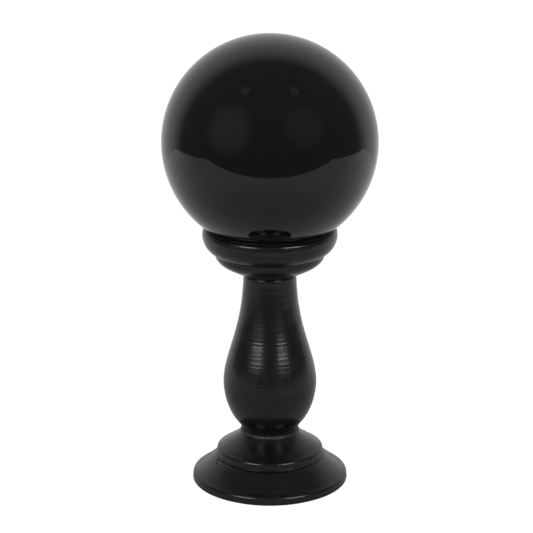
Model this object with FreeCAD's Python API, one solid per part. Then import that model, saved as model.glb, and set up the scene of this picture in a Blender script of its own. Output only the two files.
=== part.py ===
import FreeCAD
import Part
import math
import os

# Black glass ball on a turned, black lacquered wooden stand. Millimetres, +Z up.
# The origin is the centre of the felt pad's underside, which rests on the table.
# Every piece is turned about Z, apart from the cross recess in the screw's head.

# Ball
BALL_RADIUS = 40.0
BALL_CENTRE_Z = 132.9
BALL_GAP = 0.1           # between the ball and the land that it rests on

# Cup
LAND_RADIUS = 23.2       # circle on which the ball rests
LAND_HALF_WIDTH = 0.4    # of the conical land, measured along its slope
RIM_RADIUS = 24.3        # outer edge of the narrow rim, which falls a little outward
RIM_Z = 100.15
RIM_CORNER_RADIUS = 25.08   # where the rim's rounding meets the upper bead
RIM_CORNER_Z = 99.35
UPPER_BEAD_RADIUS = 25.25
UPPER_BEAD_Z = 97.9
CREASE_RADIUS = 20.9     # groove between the two beads
CREASE_Z = 91.1
CREASE_DEPTH = 0.35
HOLLOW_FLOOR_RADIUS = 7.2
HOLLOW_FLOOR_Z = 87.4
COLLAR_RADIUS = 9.7      # where the cup meets the stem

# Stem
STEM_TOP_Z = 82.5
STEM_BOTTOM_Z = 20.0
NECK_RADIUS = 9.95
BULB_RADIUS = 17.65
BULB_Z = 39.5
STEM_FOOT_RADIUS = 10.45
ARRIS = 0.4              # rounding of the stem's top edge
TENON_RADIUS = 6.0
TENON_END_Z = 12.0

# Foot
FELT_THICKNESS = 0.8
FELT_RADIUS = 27.5
FOOT_RADIUS = 29.6
FOOT_EDGE = 0.7          # rounding under the lower tier's edge
TIER_Z = 10.4            # top of the lower tier, under the upper tier
TIER_RADIUS = 20.75
DOME_TOP_RADIUS = 11.0
SHOULDER_RADIUS = 20.15  # where the dome's slope turns down into its side
SHOULDER_Z = 13.1
LIP_RADIUS = 20.55       # of the thin lip under the dome's side
LIP_TOP_Z = 11.0
LIP_THICKNESS = 0.25
GROOVE_RADIUS = 20.3     # of the groove between the tiers
GLUE_WIDTH = 0.8
GLUE_HEIGHT = 1.2

# Hardware
DOWEL_RADIUS = 4.0
DOWEL_LENGTH = 22.0
DOWEL_CHAMFER = 0.8
SCREW_RADIUS = 2.1
SCREW_ROOT_RADIUS = 1.5
SCREW_HEAD_RADIUS = 4.1
SCREW_HEAD_Z = 2.6       # the head's face, sunk below the foot's underside
SCREW_TIP_Z = 40.0
SCREW_THREAD_START_Z = 15.0
SCREW_PITCH = 1.8
RECESS_WIDTH = 1.0
RECESS_LENGTH = 4.2
RECESS_DEPTH = 1.6

AXIS = FreeCAD.Vector(0, 0, 1)


def at(radius, height):
    return FreeCAD.Vector(radius, 0, height)


def lines(*points):
    return [Part.makeLine(at(*a), at(*b)) for a, b in zip(points, points[1:])]


def arc(start, middle, end):
    return [Part.Arc(at(*start), at(*middle), at(*end)).toShape()]


def smooth(*points):
    spline = Part.BSplineCurve()
    spline.interpolate([at(*point) for point in points])
    return [spline.toShape()]


def on_circle(centre, radius, degrees):
    angle = math.radians(degrees)
    return (centre[0] + radius * math.cos(angle), centre[1] + radius * math.sin(angle))


def turned(edges):
    """Solid of revolution about Z from a closed outline in the XZ half plane."""
    face = Part.Face(Part.Wire(edges))
    return face.revolve(FreeCAD.Vector(), AXIS, 360)


def rod(radius, low, high):
    return Part.makeCylinder(radius, high - low, at(0, low))


def glass_ball():
    return Part.makeSphere(BALL_RADIUS, at(0, BALL_CENTRE_Z))


def seat_land():
    """Inner and outer end of the conical land, tangent to the ball less its gap."""
    reach = BALL_RADIUS + BALL_GAP
    tilt = math.asin(LAND_RADIUS / reach)
    middle = (LAND_RADIUS, BALL_CENTRE_Z - reach * math.cos(tilt))
    run = LAND_HALF_WIDTH * math.cos(tilt)
    rise = LAND_HALF_WIDTH * math.sin(tilt)
    return (middle[0] - run, middle[1] - rise), (middle[0] + run, middle[1] + rise)


def cup():
    """Shallow cup: a hollow under the ball, a narrow rim and two beads outside."""
    land_in, land_out = seat_land()
    floor_edge = (HOLLOW_FLOOR_RADIUS, HOLLOW_FLOOR_Z)
    span = land_in[0] - floor_edge[0]
    climb = land_in[1] - floor_edge[1]
    sweep = (span ** 2 + climb ** 2) / (2 * climb)
    hollow_centre = (floor_edge[0], floor_edge[1] + sweep)
    hollow_end = math.degrees(math.atan2(land_in[1] - hollow_centre[1], span))
    hollow_middle = on_circle(hollow_centre, sweep, (hollow_end - 90) / 2)
    rim_out = (RIM_RADIUS, RIM_Z)
    corner = (RIM_CORNER_RADIUS, RIM_CORNER_Z)
    crease = (CREASE_RADIUS, CREASE_Z)
    crease_in = (CREASE_RADIUS - CREASE_DEPTH, CREASE_Z - CREASE_DEPTH)
    edges = lines((0, HOLLOW_FLOOR_Z), floor_edge)
    edges += arc(floor_edge, hollow_middle, land_in)
    edges += lines(land_in, land_out, rim_out)
    edges += arc(rim_out, (24.85, 99.84), corner)
    edges += smooth(corner, (25.2, 98.65), (UPPER_BEAD_RADIUS, UPPER_BEAD_Z), (25.0, 96.1),
                    (24.4, 94.5), (23.3, 92.9), (22.2, 91.9), crease)
    edges += lines(crease, crease_in)
    edges += smooth(crease_in, (20.45, 89.7), (19.6, 88.2), (17.6, 86.5), (14.6, 84.9),
                    (11.6, 83.35), (COLLAR_RADIUS, STEM_TOP_Z))
    edges += lines((COLLAR_RADIUS, STEM_TOP_Z), (0, STEM_TOP_Z), (0, HOLLOW_FLOOR_Z))
    return turned(edges).cut(rod(DOWEL_RADIUS, STEM_TOP_Z - 1, HOLLOW_FLOOR_Z + 1))


def neck_dowel():
    """Joins the cup to the stem, its upper end flush with the floor of the hollow."""
    top = HOLLOW_FLOOR_Z
    bottom = top - DOWEL_LENGTH
    waist = DOWEL_RADIUS - DOWEL_CHAMFER
    return turned(lines((0, bottom), (waist, bottom), (DOWEL_RADIUS, bottom + DOWEL_CHAMFER),
                        (DOWEL_RADIUS, top), (0, top), (0, bottom)))


def stem():
    """Baluster: a slim neck that swells to a bulb, and a tenon into the foot."""
    top = (NECK_RADIUS - ARRIS, STEM_TOP_Z)
    arris_centre = (NECK_RADIUS - ARRIS, STEM_TOP_Z - ARRIS)
    neck = (NECK_RADIUS, STEM_TOP_Z - ARRIS)
    bottom = (STEM_FOOT_RADIUS, STEM_BOTTOM_Z)
    edges = lines((0, STEM_TOP_Z), top)
    edges += arc(top, on_circle(arris_centre, ARRIS, 45), neck)
    edges += smooth(neck, (10.1, 78.5), (10.5, 73.7), (11.4, 67.5), (12.9, 60.7),
                    (15.2, 52.7), (16.9, 46.3), (BULB_RADIUS, BULB_Z), (17.05, 34.5),
                    (15.5, 29.6), (13.0, 25.2), (11.0, 22.5), bottom)
    edges += lines(bottom, (TENON_RADIUS, STEM_BOTTOM_Z), (TENON_RADIUS, TENON_END_Z),
                   (0, TENON_END_Z), (0, STEM_TOP_Z))
    body = turned(edges)
    body = body.cut(rod(DOWEL_RADIUS, HOLLOW_FLOOR_Z - DOWEL_LENGTH, STEM_TOP_Z + 1))
    return body.cut(rod(SCREW_RADIUS, TENON_END_Z - 1, SCREW_TIP_Z))


def glue_ring():
    """Bead of glue squeezed out round the stem where it stands on the dome."""
    inner = (STEM_FOOT_RADIUS, STEM_BOTTOM_Z)
    outer = (STEM_FOOT_RADIUS + GLUE_WIDTH, STEM_BOTTOM_Z)
    crest = (outer[0] - 0.2 * GLUE_WIDTH, STEM_BOTTOM_Z + 0.6 * GLUE_HEIGHT)
    top = (STEM_FOOT_RADIUS + 0.2 * GLUE_WIDTH, STEM_BOTTOM_Z + GLUE_HEIGHT)
    ring = turned(lines(inner, outer) + arc(outer, crest, top) + lines(top, inner))
    return ring.cut(stem())


def foot_dome():
    """Upper tier: a low dome with an upright side and a thin lip under it."""
    top = (DOME_TOP_RADIUS, STEM_BOTTOM_Z)
    shoulder = (SHOULDER_RADIUS, SHOULDER_Z)
    side_foot = (SHOULDER_RADIUS, LIP_TOP_Z + 0.1)
    lip_top = (LIP_RADIUS, LIP_TOP_Z)
    lip_bottom = (LIP_RADIUS, LIP_TOP_Z - LIP_THICKNESS)
    groove = (GROOVE_RADIUS, TIER_Z)
    edges = lines((TENON_RADIUS, TIER_Z), groove, lip_bottom, lip_top, side_foot, shoulder)
    edges += smooth(shoulder, (20.05, 13.4), (19.8, 13.72), (19.2, 14.1), (17.5, 15.2),
                    (14.9, 16.85), (12.5, 18.5), top)
    edges += lines(top, (TENON_RADIUS, STEM_BOTTOM_Z), (TENON_RADIUS, TIER_Z))
    return turned(edges)


def foot_disc():
    """Lower tier: a disc whose top slopes out in a shallow cove to a thin edge."""
    underside = FELT_THICKNESS
    edge_centre = (FOOT_RADIUS - FOOT_EDGE, underside + FOOT_EDGE)
    edge_low = on_circle(edge_centre, FOOT_EDGE, -90)
    edge_side = on_circle(edge_centre, FOOT_EDGE, 0)
    tier_edge = (TIER_RADIUS, TIER_Z - 0.1)
    edges = lines((0, underside), edge_low)
    edges += arc(edge_low, on_circle(edge_centre, FOOT_EDGE, -45), edge_side)
    edges += smooth(edge_side, (29.45, 2.8), (29.3, 3.5), (29.05, 3.85), (28.55, 4.18),
                    (26.8, 5.4), (24.3, 7.35), (22.5, 8.9), tier_edge)
    edges += lines(tier_edge, (TIER_RADIUS - 0.2, TIER_Z), (0, TIER_Z), (0, underside))
    body = turned(edges).cut(rod(SCREW_RADIUS, 0, TIER_Z + 1))
    head_neck = SCREW_HEAD_Z + SCREW_HEAD_RADIUS - SCREW_RADIUS
    sink = turned(lines((0, 0), (SCREW_HEAD_RADIUS, 0), (SCREW_HEAD_RADIUS, SCREW_HEAD_Z),
                        (SCREW_RADIUS, head_neck), (0, head_neck), (0, 0)))
    return body.cut(sink)


def stem_screw():
    """Countersunk wood screw: the thread is a row of ring ridges up to a point."""
    head_neck = SCREW_HEAD_Z + SCREW_HEAD_RADIUS - SCREW_RADIUS
    outline = [(0, SCREW_HEAD_Z), (SCREW_HEAD_RADIUS, SCREW_HEAD_Z),
               (SCREW_RADIUS, head_neck), (SCREW_RADIUS, SCREW_THREAD_START_Z)]
    height = SCREW_THREAD_START_Z
    point_start = SCREW_TIP_Z - 3 * SCREW_ROOT_RADIUS
    while height + SCREW_PITCH < point_start:
        outline.append((SCREW_ROOT_RADIUS, height + 0.4 * SCREW_PITCH))
        outline.append((SCREW_ROOT_RADIUS, height + 0.6 * SCREW_PITCH))
        outline.append((SCREW_RADIUS, height + SCREW_PITCH))
        height += SCREW_PITCH
    outline += [(SCREW_ROOT_RADIUS, height + 0.4 * SCREW_PITCH), (0, SCREW_TIP_Z - 0.2),
                (0, SCREW_HEAD_Z)]
    screw = turned(lines(*outline))
    slot = Part.makeBox(RECESS_LENGTH, RECESS_WIDTH, RECESS_DEPTH,
                        FreeCAD.Vector(-RECESS_LENGTH / 2, -RECESS_WIDTH / 2, SCREW_HEAD_Z))
    crossed = slot.rotated(at(0, 0), AXIS, 90)
    return screw.cut(slot.fuse(crossed))


def felt_pad():
    return rod(FELT_RADIUS, 0, FELT_THICKNESS)


PIECES = [glass_ball, cup, neck_dowel, stem, glue_ring, foot_dome, foot_disc, stem_screw,
          felt_pad]

os.makedirs("parts", exist_ok=True)
for piece in PIECES:
    shape = piece()
    print(piece.__name__, shape.isValid(), round(shape.Volume, 1), shape.BoundBox)
    shape.exportStep("parts/%s.step" % piece.__name__)
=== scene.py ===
import bmesh
import bpy
import math
import numpy as np
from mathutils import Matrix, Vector


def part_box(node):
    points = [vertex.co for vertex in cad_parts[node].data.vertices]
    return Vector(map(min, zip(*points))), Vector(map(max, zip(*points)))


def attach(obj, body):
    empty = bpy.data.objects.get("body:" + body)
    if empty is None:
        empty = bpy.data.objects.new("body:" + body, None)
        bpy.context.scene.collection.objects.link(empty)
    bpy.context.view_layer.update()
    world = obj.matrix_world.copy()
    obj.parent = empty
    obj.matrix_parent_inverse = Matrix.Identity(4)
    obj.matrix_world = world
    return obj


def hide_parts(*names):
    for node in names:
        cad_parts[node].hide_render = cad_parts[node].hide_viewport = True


# A black glass ball on a turned stand of black lacquered wood. The turned pieces take
# their outlines from the frame and get the lathe's rings, the uneven paint and the glue
# that the plain solids lack.

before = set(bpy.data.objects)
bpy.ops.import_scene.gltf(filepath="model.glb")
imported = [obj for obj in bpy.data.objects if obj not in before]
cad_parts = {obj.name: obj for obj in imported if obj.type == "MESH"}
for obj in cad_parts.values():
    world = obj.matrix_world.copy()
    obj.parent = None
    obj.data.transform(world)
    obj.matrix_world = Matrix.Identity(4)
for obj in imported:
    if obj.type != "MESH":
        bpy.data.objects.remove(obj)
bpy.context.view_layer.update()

MM = 0.001
WELD = 2e-7              # vertices nearer than this are one
CROWDED = 0.05 * MM      # an outline point nearer than this to the one before is left out
CORNER = 20              # degrees that an outline turns at a corner, at least
CREASE = 50              # degrees between faces that stay sharp, at least
BALL_CUTS = 95           # along each edge of the cube that becomes the ball
SOFTEN = 0.10 * MM       # rounding of the corners of the lacquered pieces
SANDED = 0.35            # unevenness of the cup and foot, as a share of the stem's
BALL_LOW, BALL_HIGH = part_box("glass_ball")
BALL_CENTRE = (BALL_LOW + BALL_HIGH) / 2
BALL_RADIUS = (BALL_HIGH.z - BALL_LOW.z) / 2
STEM_LOW, STEM_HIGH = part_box("stem")
RIM_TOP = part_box("cup")[1].z
FELT_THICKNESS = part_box("felt_pad")[1].z


# Outlines

def seam_outline(node):
    """A turned node's outline as ordered (radius, height) points, and whether it closes."""
    mesh = bmesh.new()
    mesh.from_mesh(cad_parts[node].data)
    bmesh.ops.remove_doubles(mesh, verts=mesh.verts, dist=WELD)
    seam = {v for v in mesh.verts if abs(v.co.y) < WELD and v.co.x > -WELD}

    def beside(vertex):
        others = [edge.other_vert(vertex) for edge in vertex.link_edges]
        return [other for other in others if other in seam]

    ends = [v for v in seam if len(beside(v)) == 1]
    walk = [min(ends or seam, key=lambda v: (v.co.z, v.co.x))]
    ahead = beside(walk[0])
    while ahead:
        walk.append(ahead[0])
        ahead = [v for v in beside(walk[-1]) if v not in walk]
    points = np.array([(v.co.x, v.co.z) for v in walk])
    mesh.free()
    gaps = np.linalg.norm(np.diff(points, axis=0), axis=1)
    points = points[np.r_[True, gaps > CROWDED]]
    if ends:
        points = np.vstack([(0, points[0, 1]), points, (0, points[-1, 1])])
    return points, not ends


def along(points, distances):
    """Points at those distances along a smooth curve through the given points."""
    knots = np.r_[0, np.cumsum(np.linalg.norm(np.diff(points, axis=0), axis=1))]
    slopes = np.gradient(points, knots, axis=0)
    i = np.clip(np.searchsorted(knots, distances, side="right") - 1, 0, len(knots) - 2)
    gap = (knots[i + 1] - knots[i])[:, None]
    t = (distances - knots[i])[:, None] / gap
    start = (1 + 2 * t) * (1 - t) ** 2 * points[i] + t * (1 - t) ** 2 * gap * slopes[i]
    end = t ** 2 * (3 - 2 * t) * points[i + 1] + t ** 2 * (t - 1) * gap * slopes[i + 1]
    return start + end


def turns(points):
    """How far the outline turns at each of its points, in degrees."""
    ways = np.diff(points, axis=0)
    headings = np.degrees(np.arctan2(ways[:, 1], ways[:, 0]))
    return np.abs((np.diff(headings) + 180) % 360 - 180)


def even_outline(points, closed, step, soften):
    """The outline again in even steps, with each corner rounded off over soften."""
    if closed:
        ring = np.vstack([points[-1], points, points[0]])
        first = int(np.argmax(turns(ring) > CORNER))
        points = np.roll(points, -first, axis=0)
        points = np.vstack([points, points[0]])
    breaks = [0, *(np.flatnonzero(turns(points) > CORNER) + 1), len(points) - 1]
    runs = []
    for low, high in zip(breaks, breaks[1:]):
        stretch = points[low:high + 1]
        length = np.linalg.norm(np.diff(stretch, axis=0), axis=1).sum()
        trim = min(soften, length / 3)
        start = trim if closed or low > 0 else 0
        stop = length - (trim if closed or high < len(points) - 1 else 0)
        count = max(2, int(round((stop - start) / step)) + 1)
        runs.append(along(stretch, np.linspace(start, stop, count)))
    rounded = []
    for index, run in enumerate(runs):
        rounded.append(run)
        if index + 1 < len(runs) or closed:
            following = runs[(index + 1) % len(runs)]
            tip = points[breaks[index + 1]]
            for t in (0.25, 0.5, 0.75):
                bend = (1 - t) ** 2 * run[-1] + 2 * t * (1 - t) * tip + t ** 2 * following[0]
                rounded.append(bend[None])
    return np.vstack(rounded)


def outline_normals(outline, closed):
    """Unit normals of the outline, out of the solid."""
    if closed:
        ways = np.roll(outline, -1, axis=0) - np.roll(outline, 1, axis=0)
    else:
        ways = np.gradient(outline, axis=0)
    ways /= np.linalg.norm(ways, axis=1)[:, None]
    normals = np.stack([ways[:, 1], -ways[:, 0]], axis=1)
    after = np.roll(outline, -1, axis=0)
    area = (outline[:, 0] * after[:, 1] - after[:, 0] * outline[:, 1]).sum()
    return normals * math.copysign(1, area)


# Unevenness

def rings(height, seed, wavelength):
    """A rough curve of height alone, as a hand-held tool leaves round a turned piece."""
    draw = np.random.default_rng(seed)
    total = np.zeros_like(height)
    waves = 24
    for _ in range(waves):
        stretch = wavelength * draw.uniform(0.7, 2.4)
        total += np.cos(2 * math.pi * (height / stretch + draw.random()))
    return total / math.sqrt(waves)


def swells(height, angle, seed, wavelength, lobes):
    """Slow unevenness over the whole surface."""
    draw = np.random.default_rng(seed)
    total = np.zeros_like(height + angle)
    waves = 14
    for _ in range(waves):
        stretch = wavelength * draw.uniform(0.6, 2.0) * draw.choice([-1, 1])
        turn = draw.integers(0, lobes + 1)
        total += np.cos(2 * math.pi * (height / stretch + draw.random()) + turn * angle)
    return total / math.sqrt(waves)


def mark(height, angle, at_height, at_angle, radius, size, depth):
    """A small round pit with a raised far edge; angle zero is the right-hand side."""
    across = radius * ((angle - math.radians(at_angle) + math.pi) % (2 * math.pi) - math.pi)
    far = np.hypot(across, height - at_height) / size
    return depth * (0.6 * np.exp(-((far - 1.3) ** 2) * 6) - np.exp(-far ** 2))


def lacquered_wood(seed, ringed, marks):
    """Offsets of a turned, painted surface: tool rings, uneven paint and small pits."""
    def offset(height, angle):
        fine = ringed * 0.006 * MM * rings(height, seed, 0.75 * MM)
        broad = ringed * 0.008 * MM * rings(height, seed + 1, 3.5 * MM)
        paint = ringed * 0.010 * MM * swells(height, angle, seed + 2, 9 * MM, 9)
        pits = sum(mark(height, angle, *place) for place in marks)
        return fine + broad + paint + pits
    return offset


# Pieces

def grid_mesh(name, outline, closed, columns, offset):
    """A closed mesh turned about Z, with one vertex where the outline meets the axis."""
    angle = np.linspace(0, 2 * math.pi, columns, endpoint=False)[None, :]
    normals = outline_normals(outline, closed)
    height = outline[:, 1][:, None]
    lift = offset(height, angle) * np.ones((len(outline), columns))
    on_axis = outline[:, 0] < WELD
    lift[on_axis] = 0
    radius = outline[:, 0][:, None] + normals[:, 0][:, None] * lift
    height = height + normals[:, 1][:, None] * lift
    grid = np.stack([radius * np.cos(angle), radius * np.sin(angle), height], axis=2)
    vertices, rows = [], []
    for row, pole in zip(grid, on_axis):
        first = len(vertices)
        vertices.extend(row[:1] if pole else row)
        rows.append(np.full(columns, first) if pole else first + np.arange(columns))
    faces = []
    pairs = list(zip(rows, rows[1:])) + ([(rows[-1], rows[0])] if closed else [])
    for low, high in pairs:
        corners = np.stack([low, np.roll(low, -1), np.roll(high, -1), high], axis=1)
        faces.extend(list(dict.fromkeys(face)) for face in corners.tolist())
    mesh = bpy.data.meshes.new(name)
    mesh.from_pydata(vertices, [], faces)
    return mesh


def finished(name, mesh, body, node, material):
    """Shades a mesh and puts it in the place of its CAD node."""
    shape = bmesh.new()
    shape.from_mesh(mesh)
    bmesh.ops.recalc_face_normals(shape, faces=shape.faces)
    shape.to_mesh(mesh)
    shape.free()
    mesh.shade_smooth()
    mesh.set_sharp_from_angle(angle=math.radians(CREASE))
    piece = bpy.data.objects.new(name, mesh)
    bpy.context.scene.collection.objects.link(piece)
    mesh.materials.append(material)
    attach(piece, body)
    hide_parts(node)
    return piece


def turned_piece(node, columns, step, soften, offset, material):
    points, closed = seam_outline(node)
    outline = even_outline(points, closed, step, soften)
    mesh = grid_mesh("turned_" + node, outline, closed, columns, offset)
    return finished("turned_" + node, mesh, "stand", node, material)


def polished_ball(material):
    """A ball with even facets: a cube's faces, divided and pushed out to the sphere."""
    shape = bmesh.new()
    bmesh.ops.create_cube(shape, size=2)
    bmesh.ops.subdivide_edges(shape, edges=shape.edges, cuts=BALL_CUTS, use_grid_fill=True)
    for vertex in shape.verts:
        even = Vector(math.tan(part * math.pi / 4) for part in vertex.co)
        vertex.co = BALL_CENTRE + even.normalized() * BALL_RADIUS
    mesh = bpy.data.meshes.new("polished_ball")
    shape.to_mesh(mesh)
    shape.free()
    return finished("polished_ball", mesh, "ball", "glass_ball", material)


def squeezed_glue(height, angle):
    """The glue ring's swelling and gaps as it goes round."""
    draw = np.random.default_rng(41)
    total = np.zeros_like(height + angle)
    for lobes in range(2, 34):
        total += draw.normal() * np.cos(lobes * angle + 7 * draw.random()) / lobes ** 0.55
    grain = swells(height, angle, 43, 1.2 * MM, 90)
    return 0.05 * MM * total + 0.010 * MM * grain


def felt_fuzz(height, angle):
    """Roughness of the felt's cut edge, which fades out towards its flat faces."""
    cut_edge = np.sin(math.pi * height / FELT_THICKNESS)
    return 0.03 * MM * cut_edge * swells(height, angle, 61, 0.6 * MM, 160)


# Materials

class Nodes:
    """A node tree, whose nodes are made and joined in short calls."""

    def __init__(self, tree):
        self.tree = tree

    def add(self, kind, **settings):
        node = self.tree.nodes.new(kind)
        for key, value in settings.items():
            setattr(node, key, value)
        return node

    def join(self, source, target):
        self.tree.links.new(source, target)

    def place(self, scale):
        """Object coordinates, stretched by scale."""
        spot = self.add("ShaderNodeTexCoord").outputs["Object"]
        mapping = self.add("ShaderNodeMapping")
        mapping.inputs["Scale"].default_value = scale
        self.join(spot, mapping.inputs["Vector"])
        return mapping.outputs["Vector"]

    def noise(self, place, detail=3.0, roughness=0.5):
        node = self.add("ShaderNodeTexNoise")
        node.inputs["Scale"].default_value = 1.0
        node.inputs["Detail"].default_value = detail
        node.inputs["Roughness"].default_value = roughness
        self.join(place, node.inputs["Vector"])
        return node.outputs["Fac"]

    def ramp(self, value, low, high, dark=0.0, light=1.0):
        """Value from low to high becomes dark to light, and is held beyond them."""
        node = self.add("ShaderNodeMapRange", interpolation_type="SMOOTHSTEP")
        for key, number in zip(("From Min", "From Max", "To Min", "To Max"),
                               (low, high, dark, light)):
            node.inputs[key].default_value = number
        self.join(value, node.inputs["Value"])
        return node.outputs["Result"]

    def math(self, operation, first, second):
        node = self.add("ShaderNodeMath", operation=operation)
        for socket, value in zip(node.inputs, (first, second)):
            if isinstance(value, (int, float)):
                socket.default_value = value
            else:
                self.join(value, socket)
        return node.outputs["Value"]

    def blend(self, share, first, second):
        """A colour between first and second; each is a colour or an output."""
        node = self.add("ShaderNodeMix", data_type="RGBA")
        self.join(share, node.inputs["Factor"])
        for socket, value in ((node.inputs[6], first), (node.inputs[7], second)):
            if isinstance(value, tuple):
                socket.default_value = (*value, 1)
            else:
                self.join(value, socket)
        return node.outputs[2]

    def bump(self, height, distance, strength=1.0, under=None):
        node = self.add("ShaderNodeBump")
        node.inputs["Distance"].default_value = distance
        node.inputs["Strength"].default_value = strength
        self.join(height, node.inputs["Height"])
        if under is not None:
            self.join(under, node.inputs["Normal"])
        return node.outputs["Normal"]


class Shader(Nodes):
    """A new material and its nodes."""

    def __init__(self, name):
        self.material = bpy.data.materials.new(name)
        self.material.use_nodes = True
        super().__init__(self.material.node_tree)
        self.surface = self.tree.nodes["Principled BSDF"]

    def set(self, **values):
        """Principled inputs by name, with _ for a space: numbers, colours or outputs."""
        for key, value in values.items():
            socket = self.surface.inputs[key.replace("_", " ")]
            if isinstance(value, tuple):
                socket.default_value = (*value, 1)
            elif isinstance(value, (int, float)):
                socket.default_value = value
            else:
                self.join(value, socket)
        return self.material


def black_glass():
    """Polished black glass: a faint haze of handling, hairline marks and a little dust."""
    glass = Shader("black_glass")
    haze = glass.noise(glass.place((45, 45, 45)), 4)
    dust = glass.ramp(glass.noise(glass.place((2600, 2600, 2600)), 1), 0.80, 0.84)
    body = glass.blend(dust, (0.0075, 0.0073, 0.0072), (0.06, 0.06, 0.06))
    hairs = glass.noise(glass.place((900, 70, 400)), 6, 0.7)
    return glass.set(
        Base_Color=body,
        Roughness=glass.ramp(haze, 0.35, 0.7, 0.015, 0.045),
        IOR=1.52,
        Normal=glass.bump(hairs, 0.0000006),
    )


def lacquer(name, ringed):
    """Black lacquer over turned wood: tool rings, open grain, thin spots and dust, with a
    painted highlight along the top of the cup's rim.
    """
    paint = Shader(name)
    tool = paint.noise(paint.place((8, 8, 1700)), 4, 0.6)
    grain = paint.noise(paint.place((420, 420, 60)), 5, 0.6)
    peel = paint.noise(paint.place((650, 650, 650)), 2)
    thin = paint.ramp(paint.noise(paint.place((120, 120, 160)), 5), 0.52, 0.72)
    dust = paint.ramp(paint.noise(paint.place((1500, 1500, 1500)), 2), 0.76, 0.82)
    body = paint.blend(thin, (0.0055, 0.0054, 0.0054), (0.010, 0.0095, 0.009))
    body = paint.blend(dust, body, (0.06, 0.057, 0.054))
    relief = paint.bump(peel, ringed * 0.000005)
    relief = paint.bump(grain, ringed * 0.000006, under=relief)
    relief = paint.bump(tool, ringed * 0.000014, under=relief)
    return paint.set(
        # The top of the cup's rim is painted paler here, as a painted highlight.
        Base_Color=paint.blend(painted_rim_highlight(paint), body, (0.11, 0.105, 0.10)),
        Roughness=paint.ramp(grain, 0.3, 0.7, 0.17, 0.25),
        IOR=1.48,
        Normal=relief,
    )


def painted_rim_highlight(paint):
    """A painted highlight: a paler, patchy band of colour along the top of the cup's rim."""
    spot = paint.add("ShaderNodeTexCoord").outputs["Object"]
    parts = paint.add("ShaderNodeSeparateXYZ")
    paint.join(spot, parts.inputs["Vector"])
    high = paint.ramp(parts.outputs["Z"], RIM_TOP - 0.12 * MM, RIM_TOP - 0.02 * MM)
    patchy = paint.ramp(paint.noise(paint.place((90, 90, 90)), 4, 0.6), 0.35, 0.6, 0.45, 1.0)
    return paint.math("MULTIPLY", high, patchy)


def painted_glue():
    """Dried glue under a skin of black paint that missed it in places."""
    glue = Shader("painted_glue")
    missed = glue.ramp(glue.noise(glue.place((800, 800, 1200)), 3, 0.6), 0.62, 0.72)
    lumps = glue.noise(glue.place((1100, 1100, 1100)), 4)
    return glue.set(
        Base_Color=glue.blend(missed, (0.014, 0.0132, 0.013), (0.13, 0.12, 0.11)),
        Roughness=glue.ramp(lumps, 0.3, 0.7, 0.35, 0.55),
        Normal=glue.bump(lumps, 0.00005),
    )


def pressed_felt():
    """Black felt: matted fibres and stray pale ones."""
    felt = Shader("black_felt")
    mat = felt.noise(felt.place((2600, 2600, 2600)), 6, 0.75)
    strands = felt.noise(felt.place((400, 5200, 1200)), 4, 0.7)
    crossing = felt.noise(felt.place((5200, 400, 1200)), 4, 0.7)
    weave = felt.math("MAXIMUM", strands, crossing)
    stray = felt.ramp(weave, 0.66, 0.76)
    body = felt.blend(mat, (0.006, 0.006, 0.007), (0.03, 0.03, 0.032))
    return felt.set(
        Base_Color=felt.blend(stray, body, (0.10, 0.10, 0.105)),
        Roughness=0.95,
        Sheen_Weight=0.35,
        Sheen_Roughness=0.5,
        Specular_IOR_Level=0.15,
        Normal=felt.bump(weave, 0.00012, under=felt.bump(mat, 0.0001)),
    )


def dowel_beech():
    """Bare beech with its short dark flecks, running along the dowel."""
    wood = Shader("bare_beech")
    grain = wood.noise(wood.place((700, 700, 40)), 5, 0.6)
    flecks = wood.ramp(wood.noise(wood.place((1500, 1500, 300)), 2), 0.62, 0.70)
    body = wood.blend(grain, (0.50, 0.33, 0.19), (0.70, 0.51, 0.33))
    return wood.set(
        Base_Color=wood.blend(flecks, body, (0.30, 0.17, 0.09)),
        Roughness=wood.ramp(grain, 0.3, 0.7, 0.5, 0.7),
        Normal=wood.bump(grain, 0.00003),
    )


def zinc_steel():
    """Zinc-plated screw steel: bright, a little blotched, with drawn marks."""
    steel = Shader("zinc_steel")
    blotch = steel.noise(steel.place((350, 350, 350)), 4)
    drawn = steel.noise(steel.place((2500, 2500, 200)), 3)
    return steel.set(
        Base_Color=steel.blend(blotch, (0.48, 0.49, 0.48), (0.66, 0.66, 0.63)),
        Metallic=1.0,
        Roughness=steel.ramp(blotch, 0.3, 0.7, 0.22, 0.42),
        Normal=steel.bump(drawn, 0.00001),
    )


# Stage

WHITE = (1.0, 1.0, 1.0)
SEEN_WHITE = 1.05        # what the camera sees round the object
PAPER_GLOW = (0.74, 0.92)   # what lights the object from below and from straight behind
TABLE_FRONT = 0.325      # from the axis to the table's front edge
TABLE_BACK = 0.335       # where the paper behind the table begins
TABLE_SIDE = 0.78
TABLE_DROP = 0.0003      # keeps the table clear of the felt's underside
TABLE_GLOW = (0.29, 0.51)    # painted shadow round the foot, and the glow further out
TABLE_GLOW_BEHIND = 0.25     # painted light that is added towards the paper
ROOM_GLOW = (0.16, 0.21)     # low down, and high up
# Soft round lights in the room: azimuth, elevation, spread and strength.
ROOM_LIGHTS = [(-48, 22, 30, 0.20), (40, 26, 27, 0.11), (-54, 62, 6, 0.2), (54, 62, 6, 0.2)]
LAMP_DISTANCE = 0.9
LAMP_AZIMUTH = 39        # to the left and to the right of the front
LAMP_ELEVATION = 25
LAMP_WIDTH = 0.42
LAMP_HEIGHT = 0.30
LAMP_POWER = 2.9
VIEW_DISTANCE = 19 * BALL_RADIUS     # level, from the object's axis to the camera
VIEW_RISE = 4.561 * BALL_RADIUS      # from the ball's centre up to the camera
VIEW_TILT = 16.85
LENS = 143.3


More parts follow.
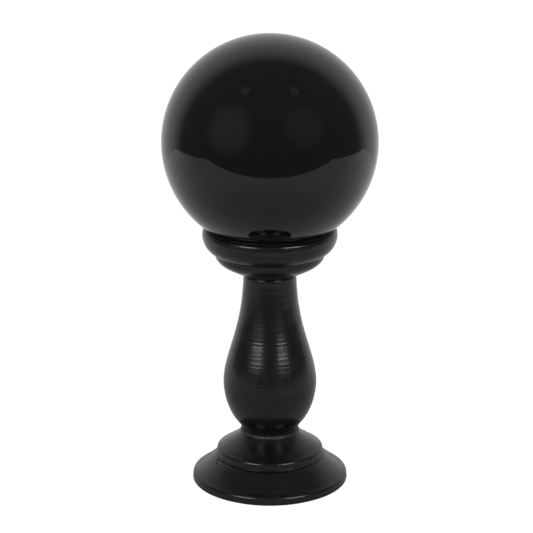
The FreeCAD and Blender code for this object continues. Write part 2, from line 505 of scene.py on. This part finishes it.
def only_to_camera(tree, seen, lighting):
    """Mixes two shaders: one that the camera sees, one that lights and is reflected."""
    ray = tree.nodes.new("ShaderNodeLightPath")
    mix = tree.nodes.new("ShaderNodeMixShader")
    tree.links.new(ray.outputs["Is Camera Ray"], mix.inputs["Fac"])
    tree.links.new(lighting, mix.inputs[1])
    tree.links.new(seen, mix.inputs[2])
    return mix.outputs["Shader"]


def table_glow(look):
    """The table's glow is painted light: dimmest round the foot, a painted shadow, and
    brightest towards the paper behind.
    """
    position = look.add("ShaderNodeNewGeometry").outputs["Position"]
    parts = look.add("ShaderNodeSeparateXYZ")
    look.join(position, parts.inputs["Vector"])
    away = look.add("ShaderNodeVectorMath", operation="LENGTH")
    look.join(position, away.inputs[0])
    # Painted shadow: the table's glow is dimmed round the foot.
    glow_with_foot_shadow = look.ramp(away.outputs["Value"], 0.03, 0.30, *TABLE_GLOW)
    backward = look.ramp(parts.outputs["Y"], -0.15, 0.30, 0.0, TABLE_GLOW_BEHIND)
    return look.math("ADD", glow_with_foot_shadow, backward)


def white_table():
    """A pale table top that glows by itself, ends in front and is clear from below."""
    mesh = bpy.data.meshes.new("table")
    corners = [(-TABLE_SIDE, -TABLE_FRONT), (TABLE_SIDE, -TABLE_FRONT),
               (TABLE_SIDE, TABLE_BACK), (-TABLE_SIDE, TABLE_BACK)]
    mesh.from_pydata([(x, y, -TABLE_DROP) for x, y in corners], [], [(0, 1, 2, 3)])
    table = bpy.data.objects.new("table", mesh)
    bpy.context.scene.collection.objects.link(table)
    look = Shader("table")
    tree = look.tree
    tree.nodes.remove(look.surface)
    glow = look.add("ShaderNodeEmission")
    look.join(table_glow(look), glow.inputs["Strength"])
    seen = look.add("ShaderNodeEmission")
    seen.inputs["Strength"].default_value = SEEN_WHITE
    top = only_to_camera(tree, seen.outputs["Emission"], glow.outputs["Emission"])
    clear = look.add("ShaderNodeBsdfTransparent")
    under = look.add("ShaderNodeMixShader")
    look.join(look.add("ShaderNodeNewGeometry").outputs["Backfacing"], under.inputs["Fac"])
    look.join(top, under.inputs[1])
    look.join(clear.outputs["BSDF"], under.inputs[2])
    look.join(under.outputs["Shader"], tree.nodes["Material Output"].inputs["Surface"])
    mesh.materials.append(look.material)


def bearing_vector(azimuth, elevation):
    """Unit vector to a place that lies azimuth degrees right of the front."""
    across, up = math.radians(azimuth), math.radians(elevation)
    return Vector((math.sin(across) * math.cos(up), -math.cos(across) * math.cos(up),
                   math.sin(up)))


def glow_round(room, way, azimuth, elevation, spread, strength):
    """A soft round light on the world, spread degrees from its middle to its edge."""
    dot = room.add("ShaderNodeVectorMath", operation="DOT_PRODUCT")
    room.join(way, dot.inputs[0])
    dot.inputs[1].default_value = bearing_vector(azimuth, elevation)
    edge = math.cos(math.radians(spread))
    return room.ramp(dot.outputs["Value"], edge, 1.0, 0.0, strength)


def studio():
    """White paper behind and underneath, and the dim room in front with its lights."""
    world = bpy.data.worlds.new("studio")
    bpy.context.scene.world = world
    world.use_nodes = True
    tree = world.node_tree
    tree.nodes.clear()
    room = Nodes(tree)
    way = room.add("ShaderNodeTexCoord").outputs["Generated"]
    parts = room.add("ShaderNodeSeparateXYZ")
    room.join(way, parts.inputs["Vector"])
    behind = room.ramp(parts.outputs["Y"], 0.22, 0.60)
    beneath = room.ramp(parts.outputs["Z"], -0.62, -0.52, 1.0, 0.0)
    paper = room.math("MAXIMUM", behind, beneath)
    dim = room.ramp(parts.outputs["Z"], -0.3, 0.9, *ROOM_GLOW)
    for place in ROOM_LIGHTS:
        dim = room.math("ADD", dim, glow_round(room, way, *place))
    level = room.add("ShaderNodeMix", data_type="FLOAT")
    room.join(paper, level.inputs["Factor"])
    room.join(dim, level.inputs[2])
    room.join(room.ramp(parts.outputs["Y"], 0.55, 0.95, *PAPER_GLOW), level.inputs[3])
    light = room.add("ShaderNodeBackground")
    room.join(level.outputs[0], light.inputs["Strength"])
    seen = room.add("ShaderNodeBackground")
    seen.inputs["Color"].default_value = (*WHITE, 1)
    seen.inputs["Strength"].default_value = SEEN_WHITE
    output = room.add("ShaderNodeOutputWorld")
    both = only_to_camera(tree, seen.outputs["Background"], light.outputs["Background"])
    room.join(both, output.inputs["Surface"])


def softbox(azimuth, lit):
    """A soft box aimed at the stem's middle, whose light falls on the lit pieces alone."""
    data = bpy.data.lights.new("softbox", "AREA")
    data.shape = "RECTANGLE"
    data.size, data.size_y = LAMP_WIDTH, LAMP_HEIGHT
    data.energy = LAMP_POWER
    lamp = bpy.data.objects.new("softbox", data)
    bpy.context.scene.collection.objects.link(lamp)
    target = (STEM_LOW + STEM_HIGH) / 2
    lamp.location = target + LAMP_DISTANCE * bearing_vector(azimuth, LAMP_ELEVATION)
    lamp.rotation_euler = (target - lamp.location).to_track_quat("-Z", "Y").to_euler()
    lamp.light_linking.receiver_collection = lit


def softboxes(pieces):
    """Two soft boxes in front, left and right, that light the stand and not the ball."""
    lit = bpy.data.collections.new("softbox_lit")
    for piece in pieces:
        lit.objects.link(piece)
    for side in (-1, 1):
        softbox(side * LAMP_AZIMUTH, lit)


def camera():
    """Level with a seated onlooker's eye: a long lens, looking a little down."""
    data = bpy.data.cameras.new("camera")
    data.sensor_width = 36
    data.lens = LENS
    data.shift_x = -0.0064
    view = bpy.data.objects.new("camera", data)
    bpy.context.scene.collection.objects.link(view)
    view.location = BALL_CENTRE + Vector((0, -VIEW_DISTANCE, VIEW_RISE))
    view.rotation_euler = (math.radians(90 - VIEW_TILT), 0, 0)
    bpy.context.scene.camera = view


# Assembly

# Pits in the paint: height, angle, radius of the surface, size and depth.
STEM_MARKS = [(54.6 * MM, -87, 15 * MM, 0.45 * MM, 0.06 * MM),
              (45.0 * MM, -95, 17 * MM, 0.50 * MM, 0.06 * MM)]
GROOVE_MARKS = [(10.1 * MM, -162, 20.9 * MM, 0.40 * MM, 0.25 * MM),
                (9.4 * MM, -158, 21.9 * MM, 0.35 * MM, 0.20 * MM)]

polished_ball(black_glass())
ridged = lacquer("ridged_lacquer", 1.0)
sanded = lacquer("sanded_lacquer", SANDED)
stand_pieces = [
    turned_piece("stem", 384, 0.16 * MM, SOFTEN, lacquered_wood(21, 1.0, STEM_MARKS),
                 ridged)]
for node, columns, step, seed, marks in (("cup", 288, 0.18, 11, ()),
                                         ("foot_dome", 288, 0.12, 31, ()),
                                         ("foot_disc", 480, 0.18, 35, GROOVE_MARKS)):
    stand_pieces.append(
        turned_piece(node, columns, step * MM, SOFTEN, lacquered_wood(seed, SANDED, marks),
                     sanded))
stand_pieces.append(turned_piece("glue_ring", 720, 0.08 * MM, 0.05 * MM, squeezed_glue,
                                 painted_glue()))
felt = turned_piece("felt_pad", 512, 0.25 * MM, 0.15 * MM, felt_fuzz,
                    pressed_felt())
for node, look in (("neck_dowel", dowel_beech()), ("stem_screw", zinc_steel())):
    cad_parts[node].data.materials.clear()
    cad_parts[node].data.materials.append(look)

bpy.context.scene.view_settings.view_transform = "Standard"
white_table()
studio()
softboxes(stand_pieces)
camera()
